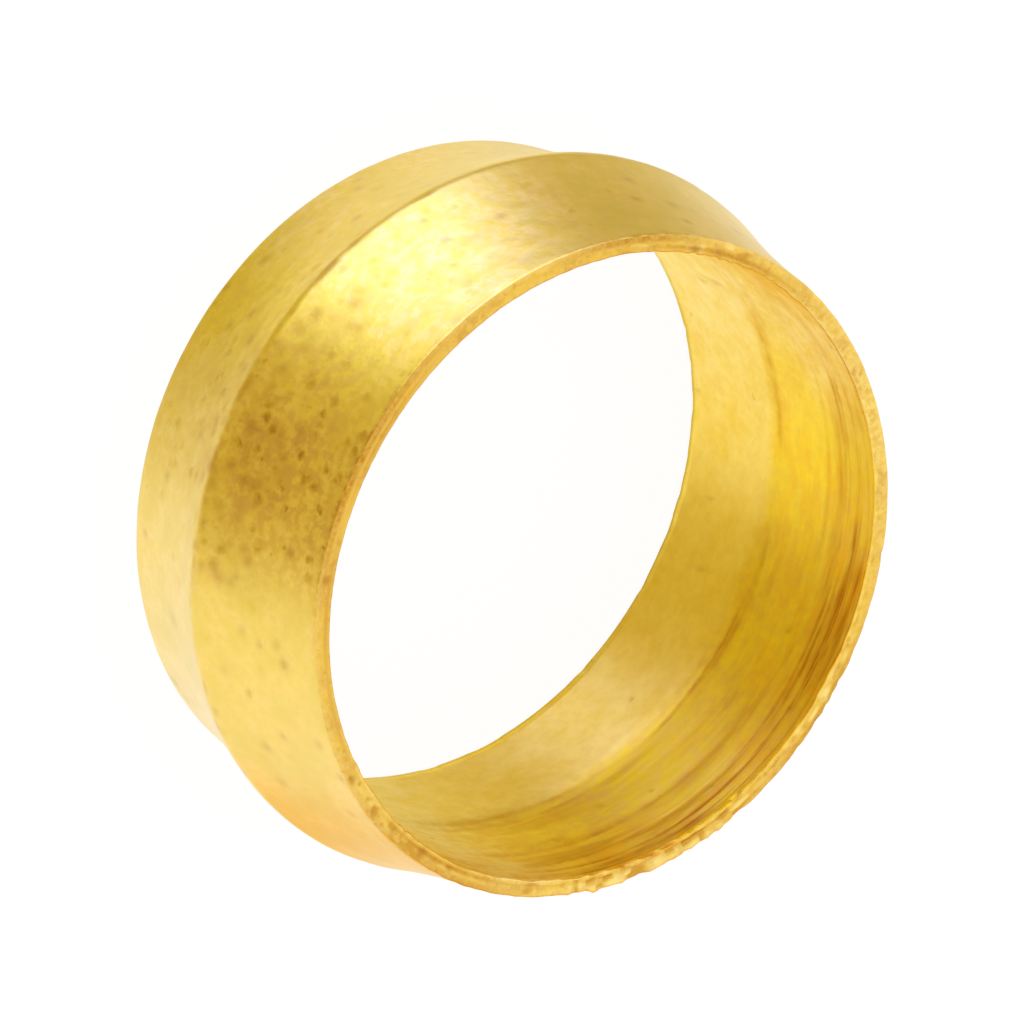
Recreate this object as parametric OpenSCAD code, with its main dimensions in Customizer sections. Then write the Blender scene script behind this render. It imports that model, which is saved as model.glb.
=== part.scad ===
// Compression ring for a 15 mm pipe: a turned brass olive, one solid piece.
// Two long flanks meet in a crest round the middle, and the pipe goes through the bore.
// The ring stands on its foot end at z = 0, and z runs up the axis to the mouth end.

/* [Length] */
// Length of the ring along the pipe
ring_len = 7.45; // [6.5:0.05:12]
// Height of the crest above the foot end
crest_h = 3.5; // [2.5:0.05:5]

/* [Bore] */
// Diameter of the smooth land that slides over the pipe
bore_d = 15.1; // [8:0.1:28.5]
// Height above the foot end at which the smooth land stops
land_h = 3.4; // [1:0.05:5]
// Depth by which the turned half above the land is opened out
turned_relief = 0.03; // [0.01:0.01:0.15]
// Length of the slope between the land and the turned half
relief_slope = 0.1; // [0.05:0.01:0.5]
// Width of the lead-in round the bore at the foot end
foot_lead = 0.15; // [0.05:0.01:0.2]
// Width of the lead-in round the bore at the mouth end
mouth_lead = 0.08; // [0.03:0.01:0.15]

/* [Wall] */
// Wall at the foot end, from the land out to the flank
foot_wall = 0.34; // [0.3:0.01:0.8]
// Wall at the mouth end, from the land out to the flank
mouth_wall = 0.42; // [0.35:0.01:0.8]
// Wall at the crest, from the land out to where the two flanks would meet
crest_wall = 1.16; // [0.9:0.01:2]

/* [Flanks] */
// Depth of the shallow hollow along the foot flank
foot_hollow = 0.1; // [0:0.01:0.15]
// Depth of the shallow hollow along the mouth flank
mouth_hollow = 0.07; // [0:0.01:0.15]
// Length of each flank that the rounded crest takes up
crest_blend = 0.18; // [0.05:0.01:0.6]
// Width of the broken outer edge at both ends
edge_break = 0.05; // [0.01:0.01:0.08]

/* [Hidden] */
$fn = 180;
// Straight pieces that each curved flank and the crest are drawn with
flank_steps = 12;
crest_steps = 6;
land_r = bore_d / 2;
turned_r = land_r + turned_relief;
foot_r = land_r + foot_wall;
mouth_r = land_r + mouth_wall;
crest_r = land_r + crest_wall;

// Corners of the section, as radius and height
foot_corner = [foot_r, edge_break];
mouth_corner = [mouth_r, ring_len - edge_break];
crest_corner = [crest_r, crest_h];

// Point at share t of the way from a to b, sunk below the straight line by a parabola
function flank_point(a, b, hollow, t) =
    let (along = (b - a) / norm(b - a))
    let (outward = [-along[1], along[0]])
    a + t * (b - a) - 4 * hollow * t * (1 - t) * outward;

// Share of the flank from a to b that the crest's rounding takes up
function blend_share(a, b) = crest_blend / norm(b - a);

// Point at share t of the curve that leaves a towards corner c and arrives at b
function rounded_point(a, c, b, t) =
    (1 - t) * (1 - t) * a + 2 * t * (1 - t) * c + t * t * b;

// Mouth flank, from the mouth's outer edge down to the start of the crest
mouth_end = 1 - blend_share(mouth_corner, crest_corner);
mouth_flank = [
    for (i = [0 : flank_steps])
        flank_point(mouth_corner, crest_corner, mouth_hollow, mouth_end * i / flank_steps)
];

// Foot flank, from the end of the crest down to the foot's outer edge
foot_start = blend_share(crest_corner, foot_corner);
foot_flank = [
    for (i = [0 : flank_steps])
        flank_point(crest_corner, foot_corner, foot_hollow,
            foot_start + (1 - foot_start) * i / flank_steps)
];

// Rounded crest between the two flanks, without the end points that they already have
crest = [
    for (i = [1 : crest_steps - 1])
        rounded_point(mouth_flank[flank_steps], crest_corner, foot_flank[0], i / crest_steps)
];

// Bore, from the foot end up: lead-in, smooth land, slope, turned half, lead-in
bore_line = [
    [land_r + foot_lead, 0],
    [land_r, foot_lead],
    [land_r, land_h],
    [turned_r, land_h + relief_slope],
    [turned_r, ring_len - mouth_lead],
    [turned_r + mouth_lead, ring_len]
];

// Half section of the ring, all the way round
module ring_section() {
    polygon(concat(
        bore_line,
        [[mouth_r - edge_break, ring_len]],
        mouth_flank,
        crest,
        foot_flank,
        [[foot_r - edge_break, 0]]
    ));
}

module compression_ring() {
    color([0.86, 0.68, 0.27]) rotate_extrude() ring_section();
}

compression_ring();
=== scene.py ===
"""Turned brass compression ring, finished for a studio picture.

The ring is one solid of revolution. Its section is drawn in millimetres, carried round the axis on a
grid, and pushed in and out by the marks that turning, sawing and handling leave behind.
"""

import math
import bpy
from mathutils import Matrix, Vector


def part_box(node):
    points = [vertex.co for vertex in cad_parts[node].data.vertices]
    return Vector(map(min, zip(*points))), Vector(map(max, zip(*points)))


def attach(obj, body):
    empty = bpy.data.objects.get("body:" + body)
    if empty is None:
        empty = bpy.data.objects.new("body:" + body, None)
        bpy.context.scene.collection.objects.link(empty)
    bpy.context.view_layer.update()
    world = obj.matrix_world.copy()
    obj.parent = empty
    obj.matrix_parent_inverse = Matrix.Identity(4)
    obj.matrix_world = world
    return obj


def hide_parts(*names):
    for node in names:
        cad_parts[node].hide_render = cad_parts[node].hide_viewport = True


bl_info = {
    "name": "Compression ring",
    "version": (1, 0, 0),
    "blender": (4, 5, 0),
    "location": "View3D > Sidebar > Fittings",
    "description": "Makes a turned brass compression ring and the studio that it stands in",
    "category": "Object",
}

from types import SimpleNamespace

import bpy
import numpy as np
from mathutils import Matrix, Vector

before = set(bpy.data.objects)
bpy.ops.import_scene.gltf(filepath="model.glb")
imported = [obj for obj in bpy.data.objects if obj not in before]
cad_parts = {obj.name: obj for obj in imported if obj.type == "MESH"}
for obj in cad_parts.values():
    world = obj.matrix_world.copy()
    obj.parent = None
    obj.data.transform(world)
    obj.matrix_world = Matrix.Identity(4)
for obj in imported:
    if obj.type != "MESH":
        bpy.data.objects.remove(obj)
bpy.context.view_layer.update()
RING_NODE = "compression_ring"
RING_LOW, RING_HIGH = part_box(RING_NODE)

MM = 0.001
TURN = 2 * math.pi
WHITE = (1.0, 1.0, 1.0)
SEED = 15


# Properties


def length(name, description, millimetres):
    """Length property, with its default given in millimetres."""
    return bpy.props.FloatProperty(
        name=name, description=description, unit="LENGTH", default=millimetres * MM
    )


def paint(name, description, *colour):
    """Colour property, with its default given as red, green and blue."""
    return bpy.props.FloatVectorProperty(
        name=name, description=description, subtype="COLOR", size=3, default=colour
    )


class RingSizes(bpy.types.PropertyGroup):
    """Sizes of the ring's section, in the same terms as its drawing."""

    ring_len: length("Length", "Length along the pipe", (RING_HIGH.z - RING_LOW.z) / MM)
    crest_h: length("Crest height", "Height of the crest above the foot end", 3.5)
    bore_r: length("Bore radius", "Radius of the smooth land", 7.55)
    land_h: length("Land height", "Height at which the smooth land stops", 3.4)
    relief: length("Relief", "How far the turned half is opened out", 0.03)
    relief_slope: length("Relief slope", "Length over which the bore eases out", 0.9)
    foot_lead: length("Foot lead-in", "Width of the lead-in at the foot end", 0.15)
    mouth_lead: length("Mouth lead-in", "Width of the lead-in at the mouth end", 0.08)
    foot_wall: length("Foot wall", "Wall at the foot end", 0.34)
    mouth_wall: length("Mouth wall", "Wall at the mouth end", 0.42)
    crest_wall: length("Crest wall", "Wall where the two flanks would meet", 1.16)
    foot_hollow: length("Foot hollow", "Depth of the foot flank's hollow", 0.1)
    mouth_hollow: length("Mouth hollow", "Depth of the mouth flank's hollow", 0.07)
    crest_blend: length("Crest blend", "Length of flank that the rounded crest takes up", 0.18)
    edge_break: length("Edge break", "Width of the foot's broken outer edge", 0.05)
    worn_edge: length("Worn edge", "Width of the mouth's worn outer edge", 0.1)
    columns: bpy.props.IntProperty(
        name="Columns", description="Faces round the ring", default=500, min=60, max=1200
    )


class WorkMarks(bpy.types.PropertyGroup):
    """Depths of the marks that the lathe, parting off and handling leave on the ring."""

    feed: length("Feed", "Distance between two turns of the boring tool", 0.13)
    feed_depth: length("Feed depth", "Depth of the regular tool marks", 0.002)
    score_depth: length("Score depth", "Depth of the deepest scores in the bore", 0.012)
    rim_lump: length("Rim lumps", "Height of the lumps round the mouth's rim", 0.06)
    rim_groove: length("Rim groove", "Depth of the parting groove round the mouth's rim", 0.012)
    lip: length("Lip", "How far the burr on the mouth's inner edge leans into the bore", 0.04)
    dent_depth: length("Dent depth", "Depth of the deepest dents in the mouth's rim", 0.035)
    burr_height: length("Burr height", "Height of the burr on the mouth's outer edge", 0.08)
    pit_depth: length("Pit depth", "Depth of the larger pits in the flanks", 0.004)
    chip_depth: length("Chip depth", "Depth of the small chips along the crest", 0.012)
    foot_nick: length("Foot nicks", "Depth of the nicks round the foot's inner edge", 0.03)
    ripple: length("Ripple", "Height of the slight unevenness of the flanks", 0.004)
    pits: bpy.props.IntProperty(
        name="Pits", description="Number of larger pits in the flanks", default=300, min=0
    )


class SurfaceGrain(bpy.types.PropertyGroup):
    """Sizes of the patterns in the brass, and how deep each finish is marked by them."""

    patch: length("Patches", "Size of the broad patches of colour", 1.4)
    cloud: length("Clouds", "Size of the cloudy mottling", 0.5)
    mottle: length("Mottling", "Size of the fine mottling", 0.24)
    grain: length("Grains", "Size of the grains on the rim", 0.14)
    speck: length("Specks", "Distance between the larger specks", 0.6)
    hairline: length("Hairlines", "Width of the fine tool lines", 0.14)
    streak: length("Streaks", "Width of the broad streaks in the bore", 0.6)
    flank_bump: length("Flank bump", "Depth of the pattern on the flanks", 0.003)
    bore_bump: length("Bore bump", "Depth of the pattern in the bore", 0.0025)
    rim_bump: length("Rim bump", "Depth of the pattern on the rim", 0.004)


class BrassFinish(bpy.types.PropertyGroup):
    """Colours of the brass."""

    flank: paint("Flanks", "Clean brass on the mouth flank", 0.98, 0.70, 0.18)
    # Foot flank: a paler copy of the flank brass, a painted sheen of light caught at a low angle
    foot: paint("Foot flank", "Clean brass on the foot flank", 0.98, 0.73, 0.225)
    green: paint("Greenish", "Brass that has turned slightly green", 0.86, 0.66, 0.13)
    # Golden: a painted reflection tone in a band beside the dulled band, and also the yellow of the
    # mottling and specks
    golden_and_painted_reflection: paint("Golden", "Flank beside its dulled part", 0.97, 0.73, 0.05)
    # Dulled: real dulled brass, and in the flank band at 281 degrees also painted shade of a dark
    # reflection; the bore and the rim use it for mottling
    dull_and_painted_shade: paint("Dulled", "Brass that has dulled", 0.78, 0.48, 0.09)
    grime: paint("Grime", "Bottom of specks, pits and dents", 0.48, 0.20, 0.02)
    land: paint("Bore land", "Smooth half of the bore", 1.0, 0.73, 0.15)
    turned: paint("Turned bore", "Turned half of the bore", 1.0, 0.70, 0.045)
    # Pale bore: a painted reflection in arcs round the bore
    pale: paint("Pale bore", "Bore where it has stayed pale", 1.0, 0.83, 0.52)
    mouth: paint("Bore mouth", "Bore near its mouth", 0.97, 0.60, 0.045)
    amber: paint("Amber", "Warmer streaks in the bore", 0.95, 0.44, 0.01)
    # Stained bore: partly stain and partly painted shade of a darker reflection
    stain_and_shade: paint("Stained bore", "Darker stain in the bore", 0.76, 0.52, 0.005)
    score: paint("Scores", "Bottom of the scores in the bore", 0.53, 0.19, 0.015)
    rim: paint("Rim", "Mouth's end face", 0.84, 0.52, 0.055)
    fleck: paint("Flecks", "Bright flecks on the rim", 1.0, 0.78, 0.24)
    # Scorch: brown that parting off left in the rim's groove, and painted shade on the rim's rounded
    # outer edge
    scorch_and_edge_shade: paint("Scorch", "Brown that parting off left on the rim", 0.55, 0.24, 0.015)


class Studio(bpy.types.PropertyGroup):
    """Camera of the studio."""

    elevation: bpy.props.FloatProperty(
        name="Elevation", description="Height of the camera above the horizon",
        subtype="ANGLE", default=math.radians(49.6),
    )
    roll: bpy.props.FloatProperty(
        name="Roll", description="Turn of the camera about its own view", subtype="ANGLE",
        default=math.radians(118.9),
    )
    distance: bpy.props.FloatProperty(
        name="Distance", description="From the camera to the point that it aims at",
        unit="LENGTH", default=456 * MM,
    )
    lens: bpy.props.FloatProperty(
        name="Lens", description="Focal length in millimetres", default=703,
    )
    aim: bpy.props.FloatVectorProperty(
        name="Aim", description="Point at the middle of the picture", subtype="TRANSLATION",
        size=3, default=(-0.093 * MM, -1.881 * MM, 5.85 * MM),
    )


# Section of the ring


def flank_line(start, end, hollow, share):
    """Points at each share of the way from start to end, sunk below the straight line by a parabola
    that is hollow deep in the middle."""
    start, end = np.array(start), np.array(end)
    along = (end - start) / np.linalg.norm(end - start)
    outward = np.array([-along[1], along[0]])
    straight = start + share[:, None] * (end - start)
    return straight - (4 * hollow * share * (1 - share))[:, None] * outward


def rounded_line(start, corner, end, share):
    """Points of the curve that leaves start towards corner and arrives at end from it: the start, the
    corner and the end, weighted by (1 - t) squared, 2 t (1 - t) and t squared."""
    t = share[:, None]
    return (1 - t) ** 2 * np.array(start) + 2 * t * (1 - t) * np.array(corner) + t**2 * np.array(end)


def ease(share):
    """3 t squared less 2 t cubed, which leaves 0 and arrives at 1 level."""
    return share * share * (3 - 2 * share)


def eased_line(start, end, share):
    """Points from start to end whose radius follows 3 t squared less 2 t cubed of the way."""
    radius = start[0] + ease(share) * (end[0] - start[0])
    return np.stack([radius, start[1] + share * (end[1] - start[1])], 1)


# Points on each stretch of the section
LEAD_POINTS = 2
LAND_POINTS = 12
SLOPE_POINTS = 14
TURNED_POINTS = 17
SCORED_POINTS = 42
RIM_CORNER_POINTS = 5
RIM_POINTS = 9
MOUTH_FLANK_POINTS = 42
CREST_POINTS = 8
FOOT_FLANK_POINTS = 36
FOOT_CORNER_POINTS = 3
FOOT_END_POINTS = 3

# Length of the bore below its mouth that has closer points, for its scores
SCORED_BAND = 1.3 * MM


def ring_section(size):
    """Closed section of the ring as radius and height in metres, up the bore, over the mouth's rim and
    down the outside. Straight stretches are cut evenly, and corners are rounded lines."""
    foot_r = size.bore_r + size.foot_wall
    mouth_r = size.bore_r + size.mouth_wall
    turned_r = size.bore_r + size.relief
    top = size.ring_len
    crest = (size.bore_r + size.crest_wall, size.crest_h)
    mouth_edge = (mouth_r, top - size.worn_edge)
    foot_edge = (foot_r, size.edge_break)
    mouth_share = 1 - size.crest_blend / math.dist(mouth_edge, crest)
    foot_share = size.crest_blend / math.dist(crest, foot_edge)

    def cut(count):
        return np.linspace(0, 1, count, endpoint=False)

    def straight(start, end, count):
        return flank_line(start, end, 0, cut(count))

    slope_low = size.land_h - size.relief_slope / 2
    slope_high = size.land_h + size.relief_slope / 2
    scored_h = top - SCORED_BAND
    lead_end = (turned_r, top - size.mouth_lead)
    rim_in = (turned_r + size.mouth_lead, top)
    rim_out = (mouth_r - size.worn_edge, top)
    mouth_cuts = mouth_share * cut(MOUTH_FLANK_POINTS)
    foot_cuts = foot_share + (1 - foot_share) * cut(FOOT_FLANK_POINTS)
    crest_in = flank_line(mouth_edge, crest, size.mouth_hollow, np.array([mouth_share]))[0]
    crest_out = flank_line(crest, foot_edge, size.foot_hollow, np.array([foot_share]))[0]
    foot_in = (size.bore_r + size.foot_lead, 0)
    foot_out = (foot_r - size.edge_break, 0)
    return np.concatenate([
        straight(foot_in, (size.bore_r, size.foot_lead), LEAD_POINTS),
        straight((size.bore_r, size.foot_lead), (size.bore_r, slope_low), LAND_POINTS),
        eased_line((size.bore_r, slope_low), (turned_r, slope_high), cut(SLOPE_POINTS)),
        straight((turned_r, slope_high), (turned_r, scored_h), TURNED_POINTS),
        straight((turned_r, scored_h), lead_end, SCORED_POINTS),
        rounded_line(lead_end, (turned_r, top), rim_in, cut(RIM_CORNER_POINTS)),
        straight(rim_in, rim_out, RIM_POINTS),
        rounded_line(rim_out, (mouth_r, top), mouth_edge, cut(RIM_CORNER_POINTS)),
        flank_line(mouth_edge, crest, size.mouth_hollow, mouth_cuts),
        rounded_line(crest_in, crest, crest_out, cut(CREST_POINTS)),
        flank_line(crest, foot_edge, size.foot_hollow, foot_cuts),
        rounded_line(foot_edge, (foot_r, 0), foot_out, cut(FOOT_CORNER_POINTS)),
        straight(foot_out, foot_in, FOOT_END_POINTS),
    ])


def section_normals(section):
    """Unit normals that point out of the metal: each is the line from the point before to the point
    after, turned a quarter left."""
    along = np.roll(section, -1, 0) - np.roll(section, 1, 0)
    normal = np.stack([-along[:, 1], along[:, 0]], 1)
    return normal / np.linalg.norm(normal, axis=1)[:, None]


# Fields over the grid of height and angle


def ramp(value, low, high):
    """0 below low, 1 above high, and 3 t squared less 2 t cubed between them."""
    return ease(np.clip((value - low) / (high - low), 0, 1))


def stripe(value, middle, half_width):
    """Bell curve: e to the power of minus the squared distance from middle in half widths."""
    return np.exp(-(((value - middle) / half_width) ** 2))


def turn_from(middle, angle):
    """Angle from middle to angle the short way round, from minus half a turn to half a turn."""
    return (angle - middle + math.pi) % TURN - math.pi


def arc_stripe(angle, middle, half_width):
    """Bell curve round the ring, with the distance taken the short way round."""
    return np.exp(-((turn_from(middle, angle) / half_width) ** 2))


# Each noise over the ring: cells round it, cells along it, and what is added to the seed
NOISES = {
    "score_wander": (30, 3, 1),
    "score_breaks": (90, 40, 2),
    "rim_lumps": (300, 3, 3),
    "rim_waves": (90, 2, 4),
    "crest_chips": (150, 40, 5),
    "ripple": (90, 24, 6),
    "step_stray": (40, 6, 8),
    "ragged": (40, 10, 9),
    "arc_stray": (30, 8, 10),
    "foot_nicks": (160, 4, 11),
}
PIT_SEED = 7


def smooth_noise(name, angle, along):
    """Random values from -1 to 1 on a lattice that closes round the ring, blended between its points
    by 3 t squared less 2 t cubed. along runs from 0 to 1."""
    cells_round, cells_along, seed = NOISES[name]
    lattice = np.random.default_rng(SEED + seed).uniform(-1, 1, (cells_round, cells_along + 2))
    u = angle / TURN * cells_round
    v = np.clip(along, 0, 1) * cells_along
    column, row = np.floor(u).astype(int), np.floor(v).astype(int)
    s, t = ease(u - column), ease(v - row)
    here, beyond = column % cells_round, (column + 1) % cells_round
    low = lattice[here, row] * (1 - s) + lattice[beyond, row] * s
    high = lattice[here, row + 1] * (1 - s) + lattice[beyond, row + 1] * s
    return low * (1 - t) + high * t


# Each score in the bore: distance below the mouth and half width in mm, share of the full depth,
# and middle and half of its stretch round the ring in degrees
SCORES = (
    (0.25, 0.05, 0.45, 60, 50),
    (0.38, 0.09, 0.5, 42, 22),
    (0.60, 0.03, 0.95, 96, 11),
    (0.69, 0.035, 1.0, 91, 16),
    (0.64, 0.06, 0.75, 52, 26),
    (0.64, 0.04, 0.45, 128, 18),
    (0.96, 0.07, 1.0, 95, 13),
    (1.14, 0.06, 0.8, 93, 14),
    (1.05, 0.10, 0.65, 50, 25),
    (1.16, 0.07, 0.5, 134, 14),
    (0.99, 0.04, 0.4, 134, 16),
    (1.36, 0.05, 0.45, 95, 14),
    (1.88, 0.11, 0.7, 45, 28),
    (1.86, 0.05, 0.35, 127, 20),
    (2.17, 0.13, 0.6, 35, 4),
    (2.87, 0.07, 0.5, 69, 21),
    (3.60, 0.10, 0.35, 40, 25),
    (3.87, 0.06, 0.75, 82, 15),
    (3.72, 0.12, 0.5, 96, 13),
    (3.78, 0.12, 0.55, 138, 12),
    (4.00, 0.10, 0.4, 38, 20),
    (0.62, 0.05, 0.7, 235, 60),
    (1.02, 0.07, 0.7, 300, 50),
    (1.90, 0.09, 0.5, 250, 55),
    (2.90, 0.07, 0.4, 320, 45),
    (3.80, 0.10, 0.6, 260, 85),
)

# How far the scores wander, and the length over which their noise runs
SCORE_WANDER = 0.03 * MM
SCORE_NOISE_LEN = 4 * MM

# Widths of what follows the rim and the crest
RIM_BAND = 0.16 * MM
CREST_BAND = 0.14 * MM
CREST_CHANGE = 0.1 * MM

# How far the marks may raise a point, and how far the edge of the turned half strays
RIM_RISE = 0.01 * MM
STEP_STRAY = 0.1 * MM

# Start and end of each ramp along the ring, from the mouth, the foot end or the land's end
FEED_FADE = (0.8 * MM, 2 * MM)
MOUTH_FADE = (0.5 * MM, 2.2 * MM)
LIP_FADE = (0.02 * MM, RIM_BAND)
FOOT_FADE = (0.05 * MM, 0.3 * MM)
STEP_RISE = (-0.35 * MM, 0.25 * MM)
TOOLED_RISE = (-0.3 * MM, 0.0)

# Middle and half width of the parting groove and of its brown, as shares of the way across the rim
GROOVE = (0.33, 0.14)
BROWN_GROOVE = (0.28, 0.16)

# Lean of the normal between which a face becomes part of the bore or of the outside
SIDE_LEAN = (0.6, 0.9)

# Pits: share that is crowded in the dulled and shaded band, how far above the crest these lie and how
# far they scatter, and the smallest and the largest half width
CROWDED_SHARE = 0.45
CROWD_RISE = 0.9 * MM
CROWD_SCATTER = 0.8 * MM
PIT_WIDTHS = (0.09 * MM, 0.17 * MM)

# Each dent in the mouth's rim: angle in degrees, place across the rim from its inner to its outer
# edge, half width in mm and share of the full depth
DENTS = (
    (2, 0.4, 0.09, 0.7),
    (44, 0.95, 0.10, 0.8),
    (85, 0.95, 0.11, 1.0),
    (94, 0.7, 0.09, 0.5),
    (115, 0.95, 0.10, 0.7),
    (186, 0.45, 0.09, 0.6),
    (192, 0.4, 0.11, 0.8),
    (197, 0.25, 0.12, 0.8),
    (204, 0.95, 0.09, 0.6),
    (213, 1.0, 0.10, 0.5),
    (295, 0.55, 0.12, 1.0),
    (333, 0.65, 0.11, 0.9),
    (341, 0.65, 0.09, 0.5),
    (347, 0.35, 0.10, 0.7),
    (355, 0.35, 0.14, 1.0),
)

# Each mark on the bore: angle in degrees, distance below the mouth, half width round and half
# length along in mm, and share of full darkness
BORE_MARKS = (
    (50, 2.85, 0.09, 0.09, 0.8),
    (84, 0.65, 0.10, 0.08, 1.0),
    (96, 1.98, 0.08, 0.10, 0.8),
    (98, 5.75, 0.07, 0.12, 0.7),
    (110, 6.2, 0.08, 0.10, 0.8),
    (156, 5.5, 0.08, 0.16, 0.8),
    (158, 4.75, 0.09, 0.28, 0.8),
    (64, 7.2, 0.10, 0.09, 0.6),
    (74, 7.25, 0.09, 0.08, 0.6),
    (102, 7.15, 0.08, 0.12, 0.5),
    (128, 7.1, 0.09, 0.09, 0.6),
)

# Arcs round the ring, each given by its middle and half in degrees and by its share

# Brown on the mouth's rim: brown that parting off left in its groove, and painted shade on its rounded
# outer edge
GROOVE_ARCS = (
    (190, 18, 1.0), (0, 16, 1.0), (322, 14, 0.5), (300, 14, 0.6), (268, 14, 0.7), (45, 25, 0.4),
)
EDGE_SHADE_ARCS = (
    (210, 14, 0.9), (274, 24, 1.0), (238, 12, 0.3), (84, 24, 0.7), (345, 18, 0.4), (5, 14, 0.7),
)

# Where the mouth's rim is rubbed bright, and where it is lumpy
RUBBED_ARCS = ((142, 26, 1.0), (20, 10, 0.6), (335, 14, 0.6))
LUMPY_ARCS = ((50, 24, 1.0), (88, 14, 0.5), (350, 20, 0.4), (195, 20, 0.4))

# Where the outside has weathered
WEATHERED_ARCS = ((250, 44, 1.0), (80, 50, 0.8), (145, 20, 0.5))

# Where the bore has a painted pale reflection, in its turned half and in its land
PALE_REFLECTION_ARCS = ((163, 17, 1.0), (14, 12, 1.0), (235, 25, 0.5), (320, 20, 0.5))
PALE_LAND_REFLECTION_ARCS = ((168, 28, 1.0), (14, 18, 0.9), (240, 30, 0.6), (310, 30, 0.6))

# Where the turned bore has stayed clean
CLEAN_ARCS = ((126, 23, 0.9), (280, 30, 0.4))

# Where the turned bore is darker, all the way down and near the mouth alone: partly stain and partly
# painted shade of a darker reflection
STAIN_AND_SHADE_ARCS = ((62, 13, 0.75), (300, 16, 0.5))
MOUTH_STAIN_AND_SHADE_ARCS = ((132, 15, 0.6), (240, 18, 0.5))

# Middle and half of the burr, of the dulled part, which also carries painted shade, and of the golden
# part beside it, which is a painted reflection tone
BURR_ANGLE = math.radians(34.2)
BURR_HALF = math.radians(0.7)
DULL_SHADE_ANGLE = math.radians(281)
DULL_SHADE_HALF = math.radians(16)
GOLDEN_REFLECTION_ANGLE = math.radians(261)
GOLDEN_REFLECTION_HALF = math.radians(9)


def scores(angle, below_mouth, marks):
    """Depth of the scores and of the regular tool marks at each point of the turned bore. Each score is
    a bell curve across, wanders by a low noise and ends softly round the ring. The regular marks are a
    cosine that climbs by one feed a turn, and they are strongest near the mouth."""
    along = below_mouth / SCORE_NOISE_LEN
    wander = SCORE_WANDER * smooth_noise("score_wander", angle, along)
    breaks = 0.75 + 0.25 * smooth_noise("score_breaks", angle, along)
    depth = np.zeros_like(angle)
    for drop, half, share, middle, reach in SCORES:
        away = np.abs(turn_from(math.radians(middle), angle))
        stretch = 1 - ramp(away, 0.6 * math.radians(reach), 1.4 * math.radians(reach))
        line = stripe(below_mouth + wander, drop * MM, half * MM)
        depth = np.maximum(depth, share * line * stretch * breaks)
    near_mouth = 1 - 0.75 * ramp(below_mouth, *FEED_FADE)
    feed_marks = 0.5 + 0.5 * np.cos(TURN * (below_mouth + wander) / marks.feed + angle)
    return marks.score_depth * depth, marks.feed_depth * feed_marks * near_mouth * breaks


def arcs(angle, table):
    """Strongest of the bell curves round the ring that a table of middles, halves and shares gives."""
    total = np.zeros_like(angle)
    for middle, half, share in table:
        total = np.maximum(total, share * arc_stripe(angle, math.radians(middle), math.radians(half)))
    return total


def dents(angle, across, rim_r, rim_width):
    """Share of full depth of the dents in the mouth's rim: bell curves in distance round and across."""
    total = np.zeros_like(angle)
    for middle, place, half, share in DENTS:
        away = turn_from(math.radians(middle), angle) * rim_r
        squared = away**2 + ((across - place) * rim_width) ** 2
        total = np.maximum(total, share * np.exp(-squared / (half * MM) ** 2))
    return total


def bore_marks(angle, below_mouth, bore_r):
    """Share of full darkness of the marks on the bore: bell curves in distance round and along."""
    total = np.zeros_like(angle)
    for middle, drop, half_round, half_along, share in BORE_MARKS:
        away = turn_from(math.radians(middle), angle) * bore_r
        squared = (away / (half_round * MM)) ** 2 + ((below_mouth / MM - drop) / half_along) ** 2
        total = np.maximum(total, share * np.exp(-squared))
    return total


def flank_pits(angle, height, radius, size, marks):
    """Share of full depth of the pits: bell curves at random places on the flanks, nearly half of them
    crowded in the dulled band, which also carries painted shade."""
    draw = np.random.default_rng(SEED + PIT_SEED)
    crowded = draw.random(marks.pits) < CROWDED_SHARE
    middles = np.where(
        crowded,
        draw.normal(DULL_SHADE_ANGLE, 0.8 * DULL_SHADE_HALF, marks.pits),
        draw.uniform(0, TURN, marks.pits),
    )
    heights = np.where(
        crowded,
        draw.normal(size.crest_h + CROWD_RISE, CROWD_SCATTER, marks.pits),
        draw.uniform(0, size.ring_len, marks.pits),
    )
    spreads = draw.uniform(*PIT_WIDTHS, marks.pits)
    shares = draw.uniform(0.3, 1.0, marks.pits) ** 2
    total = np.zeros_like(angle)
    for middle, level, spread, share in zip(middles, heights, spreads, shares):
        away = turn_from(middle, angle) * radius
        near = (np.abs(away) < 3 * spread) & (np.abs(height - level) < 3 * spread)
        total[near] += share * np.exp(-(away[near] ** 2 + (height[near] - level) ** 2) / spread**2)
    return np.clip(total, 0, 1)


def ring_grid(size):
    """Grid of section points by columns: each one's angle, radius, height and normal, and how much of
    it belongs to the bore, the turned half, the outside and the rim."""
    section = ring_section(size)
    normals = section_normals(section)
    turns = np.linspace(0, TURN, size.columns, endpoint=False)
    shape = (len(section), size.columns)
    grid = SimpleNamespace()
    grid.angle = np.broadcast_to(turns, shape)
    grid.radius = np.broadcast_to(section[:, :1], shape)
    grid.height = np.broadcast_to(section[:, 1:], shape)
    grid.normal_r = np.broadcast_to(normals[:, :1], shape)
    grid.normal_z = np.broadcast_to(normals[:, 1:], shape)
    grid.along = grid.height / size.ring_len
    grid.below_mouth = size.ring_len - grid.height
    rim_width = size.mouth_wall - size.relief
    grid.across = np.clip((grid.radius - size.bore_r - size.relief) / rim_width, 0, 1)
    grid.bore = ramp(-grid.normal_r, *SIDE_LEAN)
    grid.outside = ramp(grid.normal_r, *SIDE_LEAN)
    grid.rim = ramp(grid.height, size.ring_len - RIM_BAND, size.ring_len - 0.2 * RIM_BAND)
    step = size.land_h + STEP_STRAY * smooth_noise("step_stray", grid.angle, grid.along)
    grid.turned = grid.bore * ramp(grid.height - step, *STEP_RISE)
    return grid


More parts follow.
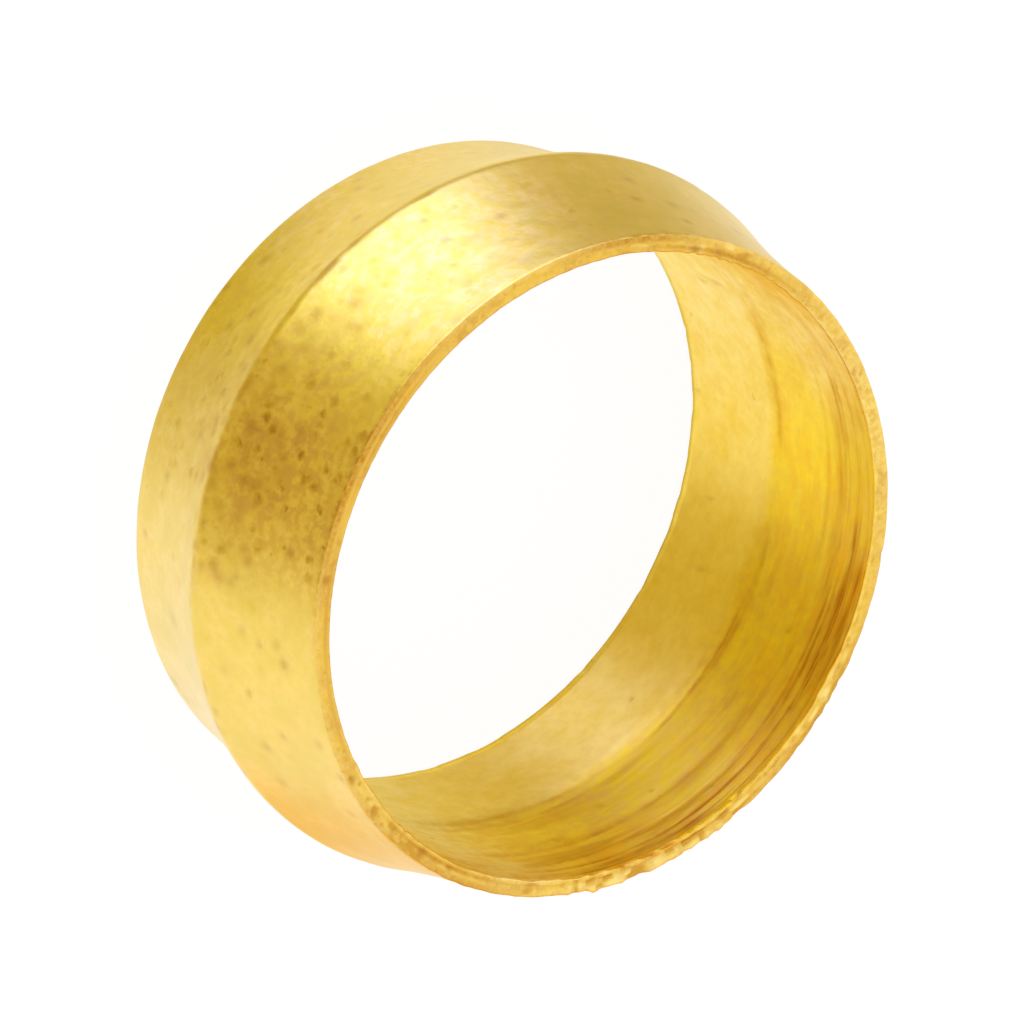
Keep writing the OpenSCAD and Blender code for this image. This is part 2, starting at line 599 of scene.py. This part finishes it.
def work_on_ring(grid, size, marks):
    """What the work did at each point: depths of the scores and tool marks, shares of the full depth
    of dents, pits and chips, and lumps up and down."""
    work = SimpleNamespace()
    work.tooled = grid.bore * ramp(grid.height - size.land_h, *TOOLED_RISE)
    score_depth, feed_depth = scores(grid.angle, grid.below_mouth, marks)
    work.score_depth = score_depth * work.tooled
    work.feed_depth = feed_depth * work.tooled
    work.dents = dents(grid.angle, grid.across, size.bore_r, size.mouth_wall) * grid.rim
    pits = flank_pits(grid.angle, grid.height, grid.radius, size, marks)
    work.pits = pits * grid.outside * (1 - grid.rim)
    crest = stripe(grid.height, size.crest_h, CREST_BAND) * grid.outside
    work.chips = crest * ramp(smooth_noise("crest_chips", grid.angle, grid.along), 0.1, 1.0)
    lumps = smooth_noise("rim_lumps", grid.angle, 0.9 * grid.across)
    lumps = lumps + 0.5 * smooth_noise("rim_waves", grid.angle, grid.across)
    work.lumps = lumps * (0.1 + 0.9 * arcs(grid.angle, LUMPY_ARCS))
    return work


def pushed_out(grid, work, marks):
    """How far each point moves out of the metal along its normal, as the sum of all marks."""
    burr = arc_stripe(grid.angle, BURR_ANGLE, BURR_HALF) * grid.rim * ramp(grid.normal_r, 0.2, 0.8)
    lip = (1 - ramp(grid.below_mouth, *LIP_FADE)) * (1 - ramp(grid.across, 0.05, 0.3))
    foot_edge = (1 - ramp(grid.height, *FOOT_FADE)) * ramp(-grid.normal_r, 0.2, 0.6)
    nicks = foot_edge * ramp(smooth_noise("foot_nicks", grid.angle, grid.along), 0.2, 1.0)
    ripple = smooth_noise("ripple", grid.angle, grid.along) * grid.outside
    push = marks.rim_lump * work.lumps * grid.rim
    push += marks.lip * lip * (0.8 + 0.2 * work.lumps)
    push -= marks.rim_groove * stripe(grid.across, *GROOVE) * grid.rim
    push -= marks.dent_depth * work.dents
    push -= work.score_depth + work.feed_depth
    push -= marks.pit_depth * work.pits
    push -= marks.chip_depth * work.chips
    push -= marks.foot_nick * nicks
    push += marks.ripple * ripple
    push += marks.burr_height * burr
    return push


def finish_fields(grid, work, size, marks):
    """Fields that the finish reads: how much of each mark and each change of colour a point has. Some
    of
    them paint light: the pale bore and the golden band are painted reflections, and the dulled band,
    the darker bore and the rim's brown edge carry painted shade as well as real marks.
    """
    angle, across = grid.angle, grid.across
    ragged = 1 + 0.35 * smooth_noise("ragged", angle, grid.along)
    strayed = angle + 0.06 * smooth_noise("arc_stray", angle, grid.along)
    # Pale arcs of the bore: a painted reflection
    pale = grid.turned * arcs(strayed, PALE_REFLECTION_ARCS) + (1 - grid.turned) * arcs(strayed, PALE_LAND_REFLECTION_ARCS)
    clean = arcs(angle, CLEAN_ARCS) * ramp(grid.below_mouth, *FEED_FADE)
    mouth_zone = grid.bore * (1 - ramp(grid.below_mouth, *MOUTH_FADE))
    # Darker bore: partly stain, partly painted shade of a darker reflection
    stain_and_painted_shade = np.maximum(
        arcs(strayed, STAIN_AND_SHADE_ARCS) * grid.turned, arcs(strayed, MOUTH_STAIN_AND_SHADE_ARCS) * mouth_zone
    )
    # Brown of the rim: the groove's brown is left by parting off, and the outer edge's brown is painted
    # shade
    scorch_and_edge_shade = np.maximum(
        arcs(angle, GROOVE_ARCS) * stripe(across, *BROWN_GROOVE),
        arcs(angle, EDGE_SHADE_ARCS) * ramp(across, 0.4, 0.75),
    )
    # Foot flank, which takes the paler painted sheen
    foot = grid.outside * (1 - ramp(grid.height - size.crest_h, -CREST_CHANGE, CREST_CHANGE))
    # Dulled band: real dulling, and painted shade of a dark reflection
    dull_and_painted_shade = np.clip(arc_stripe(angle, DULL_SHADE_ANGLE, DULL_SHADE_HALF) * ragged, 0, 1) * grid.outside
    return {
        "turned": grid.turned,
        "pale": pale * grid.bore,
        "stain_and_painted_shade": stain_and_painted_shade,
        "mouth_zone": mouth_zone * (1 - 0.6 * pale),
        "tooled": work.tooled * (1 - np.maximum(clean, 0.5 * pale)),
        "score": np.clip(work.score_depth / marks.score_depth, 0, 1),
        "mark": bore_marks(angle, grid.below_mouth, size.bore_r) * grid.bore,
        "pit": np.clip(work.pits + 0.7 * work.chips, 0, 1),
        "dent": np.clip(1.3 * work.dents, 0, 1),
        "across": across,
        "raised": ramp(work.lumps, 0.12, 0.5) * grid.rim,
        "sunk": ramp(-work.lumps, 0.0, 0.35) * grid.rim,
        "scorch_and_edge_shade": scorch_and_edge_shade * grid.rim,
        "rubbed": arcs(angle, RUBBED_ARCS) * grid.rim,
        "dull_and_painted_shade": dull_and_painted_shade * (1 - 0.7 * foot),
        "weathered": np.clip(arcs(angle, WEATHERED_ARCS) * ragged, 0, 1) * grid.outside,
        # Golden band: a painted reflection tone
        "golden_and_painted_reflection": np.clip(arc_stripe(angle, GOLDEN_REFLECTION_ANGLE, GOLDEN_REFLECTION_HALF) * ragged, 0, 1) * grid.outside,
        "foot": foot,
    }


def ring_surface(size, marks):
    """Vertices of the ring on its grid, and the fields that its finish reads. Each point lies at its
    radius round the axis, moved along its normal by the sum of the marks."""
    grid = ring_grid(size)
    work = work_on_ring(grid, size, marks)
    push = pushed_out(grid, work, marks)
    radius = grid.radius + grid.normal_r * push
    height = grid.height + grid.normal_z * np.minimum(push, RIM_RISE)
    x, y = radius * np.cos(grid.angle), radius * np.sin(grid.angle)
    points = np.stack([x, y, np.maximum(height, 0)], -1)
    return points, finish_fields(grid, work, size, marks)


def closed_grid_mesh(name, points, fields):
    """Mesh of a grid that closes both ways, with a UV map of share round by share along and a value of
    each field at each point. Corners run along before round, so that the faces point out of the
    metal."""
    rows, columns = points.shape[:2]
    mesh = bpy.data.meshes.new(name)
    index = np.arange(rows * columns).reshape(rows, columns)
    after_row, after_column = np.roll(index, -1, 0), np.roll(index, -1, 1)
    after_both = np.roll(after_row, -1, 1)
    quads = np.stack([index, after_row, after_both, after_column], -1).reshape(-1, 4)
    mesh.from_pydata(points.reshape(-1, 3), [], quads)
    row, column = np.meshgrid(np.arange(rows), np.arange(columns), indexing="ij")
    u = np.stack([column, column, column + 1, column + 1], -1) / columns
    v = np.stack([row, row + 1, row + 1, row], -1) / rows
    uv = mesh.uv_layers.new(name="round_and_along")
    uv.data.foreach_set("uv", np.stack([u, v], -1).astype(np.float32).ravel())
    for field, values in fields.items():
        attribute = mesh.attributes.new(field, "FLOAT", "POINT")
        attribute.data.foreach_set("value", values.astype(np.float32).ravel())
    mesh.shade_smooth()
    mesh.update()
    return mesh


# Shader building

NOISE_ROUGHNESS = 0.6

# Roughness of clean brass, what dulling adds to it, the rim's roughness and that of the oil film
BRASS_ROUGHNESS = 0.34
DULL_ROUGHNESS = 0.12
RIM_ROUGHNESS = 0.4
FILM_ROUGHNESS = 0.28

# Share of the surface under oil, and tint of what it mirrors at a low angle
FLANK_FILM = 0.25
BORE_FILM = 0.0
RIM_FILM = 0.1
BORE_TINT = (1.0, 0.92, 0.38)
RIM_TINT = (1.0, 0.9, 0.6)


def feed_socket(tree, socket, value):
    """Joins an output to the socket, or sets the socket to a plain value."""
    if isinstance(value, bpy.types.NodeSocket):
        tree.links.new(value, socket)
    else:
        socket.default_value = value


def add_node(tree, kind, inputs=(), **settings):
    """Adds a node, sets its own settings and feeds its inputs, given by name or number."""
    node = tree.nodes.new(kind)
    for key, value in settings.items():
        setattr(node, key, value)
    for key, value in dict(inputs).items():
        feed_socket(tree, node.inputs[key], value)
    return node


def math_node(tree, operation, first, second, third=0.0, clamp=False):
    """Output of a Math node."""
    inputs = {0: first, 1: second, 2: third}
    node = add_node(tree, "ShaderNodeMath", inputs, operation=operation, use_clamp=clamp)
    return node.outputs[0]


def scaled(tree, value, factor, base=0.0):
    """Value times factor plus base."""
    return math_node(tree, "MULTIPLY_ADD", value, factor, base)


def product(tree, first, second):
    """First times second."""
    return math_node(tree, "MULTIPLY", first, second)


def larger(tree, first, second):
    """The larger of the two."""
    return math_node(tree, "MAXIMUM", first, second)


def map_range(tree, value, low, high):
    """Output of a Map Range node: 0 at low, 1 at high, and smooth between them."""
    inputs = {0: value, 1: low, 2: high}
    node = add_node(tree, "ShaderNodeMapRange", inputs, interpolation_type="SMOOTHSTEP")
    return node.outputs[0]


def mix_colour(tree, share, first, second):
    """Output of a colour Mix node: the first colour, with the second laid over it by the share."""
    node = add_node(tree, "ShaderNodeMix", {"Factor": share}, data_type="RGBA")
    for socket, value in zip([s for s in node.inputs if s.type == "RGBA"], (first, second)):
        feed_socket(tree, socket, value if isinstance(value, bpy.types.NodeSocket) else (*value, 1))
    return next(s for s in node.outputs if s.type == "RGBA")


def layered(tree, colour, *layers):
    """Colour under layers of others, each laid over it by its share, in the order given."""
    for share, over in layers:
        colour = mix_colour(tree, share, colour, over)
    return colour


def noise(tree, vector, scale, detail):
    """Output of a noise texture with the given number of finer layers."""
    inputs = {"Vector": vector, "Scale": scale, "Detail": detail, "Roughness": NOISE_ROUGHNESS}
    return add_node(tree, "ShaderNodeTexNoise", inputs).outputs["Fac"]


def field(tree, name):
    """Value of one of the ring's own fields."""
    return add_node(tree, "ShaderNodeAttribute", attribute_name=name).outputs["Fac"]


def new_group(name, output, **defaults):
    """Empty shader group that is given a Vector and a number for each default, and puts out one
    number. Returns the group, what it is given and the socket to feed."""
    group = bpy.data.node_groups.new(name, "ShaderNodeTree")
    group.interface.new_socket("Vector", in_out="INPUT", socket_type="NodeSocketVector")
    for label, default in defaults.items():
        socket = group.interface.new_socket(label, in_out="INPUT", socket_type="NodeSocketFloat")
        socket.default_value = default
    group.interface.new_socket(output, in_out="OUTPUT", socket_type="NodeSocketFloat")
    given = add_node(group, "NodeGroupInput").outputs
    return group, given, add_node(group, "NodeGroupOutput").inputs[0]


def turning_group():
    """Lines that a lathe tool leaves round the axis: noise drawn out round the ring by the share that
    Stretch leaves of its length."""
    group, given, height = new_group("Turning lines", "Height", Width=0.00012, Stretch=0.08)
    parts = add_node(group, "ShaderNodeSeparateXYZ", {0: given["Vector"]}).outputs
    x, y = (product(group, parts[axis], given["Stretch"]) for axis in "XY")
    drawn_out = add_node(group, "ShaderNodeCombineXYZ", {"X": x, "Y": y, "Z": parts["Z"]})
    scale = math_node(group, "DIVIDE", 1.0, given["Width"])
    feed_socket(group, height, noise(group, drawn_out.outputs[0], scale, 3.0))
    return group


def speck_group():
    """Soft round specks: one in each cell of a random mosaic whose own number is below the cover, each
    of its own size, full at its middle and gone at its rim."""
    group, given, mask = new_group("Specks", "Mask", Spacing=0.0003, Cover=0.3, Size=0.4)
    vector, spacing = given["Vector"], given["Spacing"]
    per_metre = math_node(group, "DIVIDE", 1.0, spacing)
    fine = {"Vector": vector, "Scale": scaled(group, per_metre, 2.0)}
    wobble = add_node(group, "ShaderNodeTexNoise", fine).outputs["Color"]
    shifts = {0: wobble, 1: scaled(group, spacing, 0.6), 2: vector}
    shifted = add_node(group, "ShaderNodeVectorMath", shifts, operation="MULTIPLY_ADD")
    mosaic = {"Vector": shifted.outputs[0], "Scale": per_metre}
    cells = add_node(group, "ShaderNodeTexVoronoi", mosaic).outputs
    own = add_node(group, "ShaderNodeSeparateColor", {0: cells["Color"]}).outputs
    present = map_range(group, math_node(group, "SUBTRACT", given["Cover"], own[0]), 0.0, 0.2)
    width = product(group, scaled(group, own[1], 0.8, 0.5), given["Size"])
    dot = map_range(group, math_node(group, "DIVIDE", cells["Distance"], width), 1.0, 0.0)
    feed_socket(group, mask, product(group, dot, present))
    return group


def mottle_group():
    """Cloudy patches: a noise of three sizes whose contrast is raised."""
    group, given, mask = new_group("Mottling", "Mask", Patch=0.001)
    scale = math_node(group, "DIVIDE", 1.0, given["Patch"])
    feed_socket(group, mask, map_range(group, noise(group, given["Vector"], scale, 2.0), 0.35, 0.65))
    return group


def pattern(tree, group, place, **values):
    """Output of a pattern group that is laid out over the ring, with its own values."""
    inputs = {"Vector": place, **values}
    return add_node(tree, "ShaderNodeGroup", inputs, node_tree=group).outputs[0]


def mottling(tree, groups, place, *patches):
    """Cloudy patches of each of the sizes."""
    return [pattern(tree, groups["mottle"], place, Patch=patch) for patch in patches]


def brass_shader(tree, colour, roughness, height, bump, film, tint):
    """Principled metal under a thin film of oil, bumped by height times bump, in metres. The tint
    colours what it mirrors at a low angle."""
    bumped = add_node(tree, "ShaderNodeBump", {"Strength": 1.0, "Distance": bump, "Height": height})
    shader = add_node(
        tree, "ShaderNodeBsdfPrincipled",
        {"Base Color": colour, "Roughness": roughness, "Metallic": 1.0, "Specular Tint": (*tint, 1),
         "Coat Weight": film, "Coat Roughness": FILM_ROUGHNESS, "Normal": bumped.outputs["Normal"]},
    )
    add_node(tree, "ShaderNodeOutputMaterial", {"Surface": shader.outputs[0]})


def new_material(name):
    """Empty node material and its tree."""
    material = bpy.data.materials.new(name)
    material.use_nodes = True
    material.node_tree.nodes.clear()
    return material, material.node_tree


def own_place(tree):
    """Place of each point in the object's own coordinates, in metres."""
    return add_node(tree, "ShaderNodeTexCoord").outputs["Object"]


def flank_material(look, sizes, groups):
    """Satin brass of the outside: mottled, finely lined, and specked with grime where it has dulled.
    The dulled band also carries painted shade, the golden band beside it is a painted reflection tone,
    and the foot flank's paler brass is a painted sheen.
    """
    material, tree = new_material("flank_brass")
    place = own_place(tree)
    dull_and_painted_shade = field(tree, "dull_and_painted_shade")
    weathered = field(tree, "weathered")
    lines = pattern(tree, groups["turning"], place, Width=sizes.hairline, Stretch=0.15)
    patches, clouds, mottles = mottling(tree, groups, place, sizes.patch, sizes.cloud, sizes.mottle)
    few_cover = scaled(tree, weathered, 0.22, 0.12)
    many_cover = scaled(tree, dull_and_painted_shade, 0.4, scaled(tree, weathered, 0.3, 0.08))
    few = pattern(tree, groups["specks"], place, Spacing=sizes.speck, Cover=few_cover, Size=0.3)
    many = pattern(
        tree, groups["specks"], place, Spacing=0.65 * sizes.speck, Cover=many_cover, Size=0.55
    )
    spots = larger(tree, few, many)

    cloudy = scaled(tree, clouds, 0.5, scaled(tree, mottles, 0.7))
    cloudy = product(tree, cloudy, scaled(tree, weathered, 0.68, 0.12))
    cloudy = scaled(tree, field(tree, "golden_and_painted_reflection"), 0.75, scaled(tree, dull_and_painted_shade, 0.3, cloudy))
    blotches = larger(tree, product(tree, clouds, patches), scaled(tree, mottles, 0.8))
    blotches = product(tree, blotches, scaled(tree, dull_and_painted_shade, 0.65, scaled(tree, weathered, 0.15, 0.2)))
    dark = product(tree, spots, scaled(tree, dull_and_painted_shade, 0.75, 0.25))
    dark = larger(tree, dark, scaled(tree, field(tree, "pit"), 0.5))
    scorch_and_shade_share = product(tree, field(tree, "scorch_and_edge_shade"), scaled(tree, mottles, 0.6, 0.3))
    # Painted light in these layers: the foot flank's paler brass is a painted sheen, the golden band is
    # a painted reflection tone, and the dulled band and the rim-edge brown are partly painted shade
    colour = layered(
        tree, look.flank,
        (field(tree, "foot"), look.foot),
        (scaled(tree, patches, 0.7), look.green),
        (cloudy, look.golden_and_painted_reflection),
        (scaled(tree, dull_and_painted_shade, 0.3, blotches), look.dull_and_painted_shade),
        (scaled(tree, spots, 0.7), look.golden_and_painted_reflection),
        (dark, look.grime),
        (scorch_and_shade_share, look.scorch_and_edge_shade),
    )

    height = scaled(tree, clouds, 0.6, scaled(tree, mottles, 0.3, scaled(tree, lines, 0.5)))
    height = scaled(tree, dark, -0.3, height)
    roughness = scaled(tree, dull_and_painted_shade, DULL_ROUGHNESS, BRASS_ROUGHNESS)
    brass_shader(tree, colour, roughness, height, sizes.flank_bump, FLANK_FILM, WHITE)
    return material


def bore_material(look, sizes, groups):
    """Brighter brass of the bore: a smooth land below, streaks of tool lines and dirty scores above.
    Its pale arcs are a painted reflection, and its darker stain is partly painted shade.
    """
    material, tree = new_material("bore_brass")
    place = own_place(tree)
    turned = field(tree, "turned")
    tooled = field(tree, "tooled")
    near_mouth = field(tree, "mouth_zone")
    patches, clouds, mottles = mottling(tree, groups, place, sizes.patch, sizes.cloud, sizes.mottle)
    streaks = pattern(tree, groups["turning"], place, Width=sizes.streak, Stretch=0.16)
    hairlines = pattern(tree, groups["turning"], place, Width=1.8 * sizes.hairline, Stretch=0.1)
    warm_streaks = pattern(tree, groups["turning"], place, Width=0.8 * sizes.streak, Stretch=0.3)
    specks = pattern(tree, groups["specks"], place, Spacing=1.4 * sizes.speck, Cover=0.3, Size=0.15)

    yellow = product(tree, patches, scaled(tree, clouds, 0.4, 0.2))
    warm = product(tree, map_range(tree, warm_streaks, 0.46, 0.58), scaled(tree, clouds, 0.5, 0.6))
    warm = product(tree, warm, scaled(tree, turned, 0.28, scaled(tree, near_mouth, 0.4, 0.05)))
    pale = product(tree, field(tree, "pale"), scaled(tree, clouds, -0.25, 0.95))
    cloudy = scaled(tree, patches, 0.14, scaled(tree, clouds, 0.16, scaled(tree, mottles, 0.2)))
    cloudy = product(tree, cloudy, scaled(tree, tooled, 0.5, 0.8))
    broad = scaled(tree, near_mouth, 0.4, scaled(tree, tooled, 0.25))
    broad = product(tree, map_range(tree, streaks, 0.48, 0.7), broad)
    thin = scaled(tree, near_mouth, 0.28, scaled(tree, tooled, 0.06))
    thin = product(tree, map_range(tree, hairlines, 0.47, 0.7), thin)
    scored = product(tree, field(tree, "score"), scaled(tree, clouds, 0.4, 0.6))
    scored = math_node(tree, "ADD", scored, math_node(tree, "ADD", broad, thin), clamp=True)
    dark = larger(tree, scaled(tree, specks, 0.45), scaled(tree, field(tree, "mark"), 0.65))
    # Painted light in these layers: the pale colour is a painted reflection, and the darker stain is
    # partly painted shade
    colour = layered(
        tree, look.land,
        (turned, look.turned),
        (yellow, look.turned),
        (near_mouth, look.mouth),
        (warm, look.amber),
        (field(tree, "stain_and_painted_shade"), look.stain_and_shade),
        (pale, look.pale),
        (cloudy, look.dull_and_painted_shade),
        (scored, look.score),
        (dark, look.grime),
    )

    height = product(tree, hairlines, scaled(tree, tooled, 0.7, 0.3))
    height = scaled(tree, clouds, 0.3, height)
    brass_shader(tree, colour, BRASS_ROUGHNESS, height, sizes.bore_bump, BORE_FILM, BORE_TINT)
    return material


def rim_material(look, sizes, groups):
    """Rough brass of the two ends: brown where parting off burnt it, painted shade on the mouth's outer
    edge, and bright flecks.
    """
    material, tree = new_material("rim_brass")
    place = own_place(tree)
    across = field(tree, "across")
    scorch_and_edge_shade = field(tree, "scorch_and_edge_shade")
    patches, mottles, grains = mottling(
        tree, groups, place, 0.5 * sizes.patch, sizes.mottle, sizes.grain
    )
    spots = pattern(tree, groups["specks"], place, Spacing=0.4 * sizes.speck, Cover=0.6, Size=0.5)
    inner = map_range(tree, across, 0.2, 0.02)
    outer = map_range(tree, scaled(tree, mottles, 0.4, across), 0.8, 1.15)

    bright = scaled(tree, field(tree, "rubbed"), 0.5, scaled(tree, inner, 0.3, 0.25))
    bright = product(tree, bright, scaled(tree, grains, 0.7, 0.3))
    brown = larger(tree, product(tree, mottles, patches), spots)
    brown = product(tree, brown, scaled(tree, scorch_and_edge_shade, 0.4, 0.4))
    brown = larger(tree, brown, product(tree, scorch_and_edge_shade, scaled(tree, grains, 0.4, 0.6)))
    brown = larger(tree, brown, scaled(tree, field(tree, "sunk"), 0.7))
    # The rim's brown is partly painted shade on its outer edge
    colour = layered(
        tree, look.rim,
        (scaled(tree, patches, 0.5), look.dull_and_painted_shade),
        (bright, look.fleck),
        (scaled(tree, outer, 0.6), look.flank),
        (scaled(tree, field(tree, "raised"), 0.85), look.fleck),
        (brown, look.scorch_and_edge_shade),
        (scaled(tree, field(tree, "dent"), 0.7), look.grime),
    )

    height = scaled(tree, brown, -1.0, scaled(tree, grains, 0.5))
    brass_shader(tree, colour, RIM_ROUGHNESS, height, sizes.rim_bump, RIM_FILM, RIM_TINT)
    return material


# Studio

FLOOR_HALF = 1.0
FLOOR_CORNERS = ((-1, -1), (1, -1), (1, 1), (-1, 1))
FLOOR_GLOW = 0.93
FLOOR_MATT = (0.1, 0.1, 0.1)
DOME_COLOUR = (1.05, 1.05, 1.05)

# Cards of the dome: azimuth, elevation, core and edge in degrees, and colour
CARDS = (
    (180, -60, 20, 50, (0.45, 0.35, 0.05)),
    (265, -20, 35, 60, (0.6, 0.5, 0.1)),
    (220, -15, 10, 40, (1.7, 1.9, 4.5)),
    (55, -10, 30, 40, (1.0, 0.7, 0.3)),
    (140, -70, 15, 30, (1.0, 0.95, 0.7)),
)


def card_mask(tree, direction, azimuth, elevation, core, edge):
    """Share of a round card in each direction: full within core degrees of its middle, gone beyond
    edge degrees."""
    a, e = math.radians(azimuth), math.radians(elevation)
    middle = (math.cos(a) * math.cos(e), math.sin(a) * math.cos(e), math.sin(e))
    inputs = {0: direction, 1: middle}
    nearness = add_node(tree, "ShaderNodeVectorMath", inputs, operation="DOT_PRODUCT")
    gone, full = math.cos(math.radians(edge)), math.cos(math.radians(core))
    return map_range(tree, nearness.outputs["Value"], gone, full)


def dome_world():
    """World that the camera sees as white, and that lights the ring as a pale dome with soft cards."""
    world = bpy.data.worlds.new("studio_dome")
    bpy.context.scene.world = world
    world.use_nodes = True
    tree = world.node_tree
    tree.nodes.clear()
    direction = add_node(tree, "ShaderNodeTexCoord").outputs["Generated"]
    seen = add_node(tree, "ShaderNodeLightPath").outputs["Is Camera Ray"]
    cards = [(card_mask(tree, direction, *place), colour) for *place, colour in CARDS]
    colour = layered(tree, DOME_COLOUR, *cards, (seen, WHITE))
    background = add_node(tree, "ShaderNodeBackground", {"Color": colour})
    add_node(tree, "ShaderNodeOutputWorld", {"Surface": background.outputs[0]})


def floor_material():
    """White floor: most of it glows, and the rest takes the ring's shadow."""
    material, tree = new_material("studio_floor")
    glow = add_node(tree, "ShaderNodeEmission", {"Color": (*WHITE, 1), "Strength": FLOOR_GLOW})
    matt = add_node(tree, "ShaderNodeBsdfDiffuse", {"Color": (*FLOOR_MATT, 1)})
    both = add_node(tree, "ShaderNodeAddShader", {0: glow.outputs[0], 1: matt.outputs[0]})
    add_node(tree, "ShaderNodeOutputMaterial", {"Surface": both.outputs[0]})
    return material


# Operators


class FITTING_OT_compression_ring(bpy.types.Operator):
    """Makes the turned brass ring, with its tool marks, nicks and pits"""

    bl_idname = "fitting.compression_ring"
    bl_label = "Compression ring"

    def execute(self, context):
        scene = context.scene
        points, fields = ring_surface(scene.ring_sizes, scene.work_marks)
        mesh = closed_grid_mesh("turned_ring", points, fields)
        groups = {"turning": turning_group(), "specks": speck_group(), "mottle": mottle_group()}
        look = scene.brass_finish
        for make_material in (flank_material, bore_material, rim_material):
            mesh.materials.append(make_material(look, scene.surface_grain, groups))
        lean = section_normals(ring_section(scene.ring_sizes))[:, 0]
        flank, bore, rim = range(3)
        kinds = np.select([lean > SIDE_LEAN[0], lean < -SIDE_LEAN[0]], [flank, bore], rim)
        kinds = np.repeat(kinds, scene.ring_sizes.columns).astype(np.int32)
        mesh.polygons.foreach_set("material_index", kinds)
        ring = bpy.data.objects.new("turned_ring", mesh)
        scene.collection.objects.link(ring)
        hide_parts(RING_NODE)
        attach(ring, "root")
        return {"FINISHED"}


class FITTING_OT_studio(bpy.types.Operator):
    """Makes the white floor, the dome of light and the camera"""

    bl_idname = "fitting.studio"
    bl_label = "Studio"

    def execute(self, context):
        scene = context.scene
        studio = scene.studio
        dome_world()
        floor_mesh = bpy.data.meshes.new("studio_floor")
        corners = [(FLOOR_HALF * x, FLOOR_HALF * y, 0) for x, y in FLOOR_CORNERS]
        floor_mesh.from_pydata(corners, [], [(0, 1, 2, 3)])
        floor_mesh.materials.append(floor_material())
        floor = bpy.data.objects.new("studio_floor", floor_mesh)
        floor.visible_glossy = False
        floor.visible_shadow = False
        scene.collection.objects.link(floor)

        camera_data = bpy.data.cameras.new("studio_camera")
        camera_data.lens = studio.lens
        camera = bpy.data.objects.new("studio_camera", camera_data)
        back = Vector((0, -math.cos(studio.elevation), math.sin(studio.elevation)))
        level = Vector((1, 0, 0))
        upright = Vector((0, math.sin(studio.elevation), math.cos(studio.elevation)))
        right = level * math.cos(studio.roll) + upright * math.sin(studio.roll)
        up = upright * math.cos(studio.roll) - level * math.sin(studio.roll)
        turn = Matrix((right, up, back)).transposed().to_4x4()
        camera.matrix_world = Matrix.Translation(Vector(studio.aim) + back * studio.distance) @ turn
        scene.collection.objects.link(camera)
        scene.camera = camera
        scene.view_settings.view_transform = "Standard"
        return {"FINISHED"}


class FITTING_PT_panel(bpy.types.Panel):
    """Lists the steps in the order in which they are run"""

    bl_idname = "FITTING_PT_panel"
    bl_label = "Compression ring"
    bl_space_type = "VIEW_3D"
    bl_region_type = "UI"
    bl_category = "Fittings"

    def draw(self, context):
        for step in STEPS:
            self.layout.operator(step.bl_idname)


STEPS = (FITTING_OT_studio, FITTING_OT_compression_ring)
GROUPS = {
    "ring_sizes": RingSizes,
    "work_marks": WorkMarks,
    "surface_grain": SurfaceGrain,
    "brass_finish": BrassFinish,
    "studio": Studio,
}


def register():
    for group in GROUPS.values():
        bpy.utils.register_class(group)
    for name, group in GROUPS.items():
        setattr(bpy.types.Scene, name, bpy.props.PointerProperty(type=group))
    for step in STEPS:
        bpy.utils.register_class(step)
    bpy.utils.register_class(FITTING_PT_panel)


def unregister():
    bpy.utils.unregister_class(FITTING_PT_panel)
    for step in reversed(STEPS):
        bpy.utils.unregister_class(step)
    for name in GROUPS:
        delattr(bpy.types.Scene, name)
    for group in GROUPS.values():
        bpy.utils.unregister_class(group)


def main():
    """Registers the classes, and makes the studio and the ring."""
    register()
    bpy.ops.fitting.studio()
    bpy.ops.fitting.compression_ring()


if __name__ == "__main__":
    main()
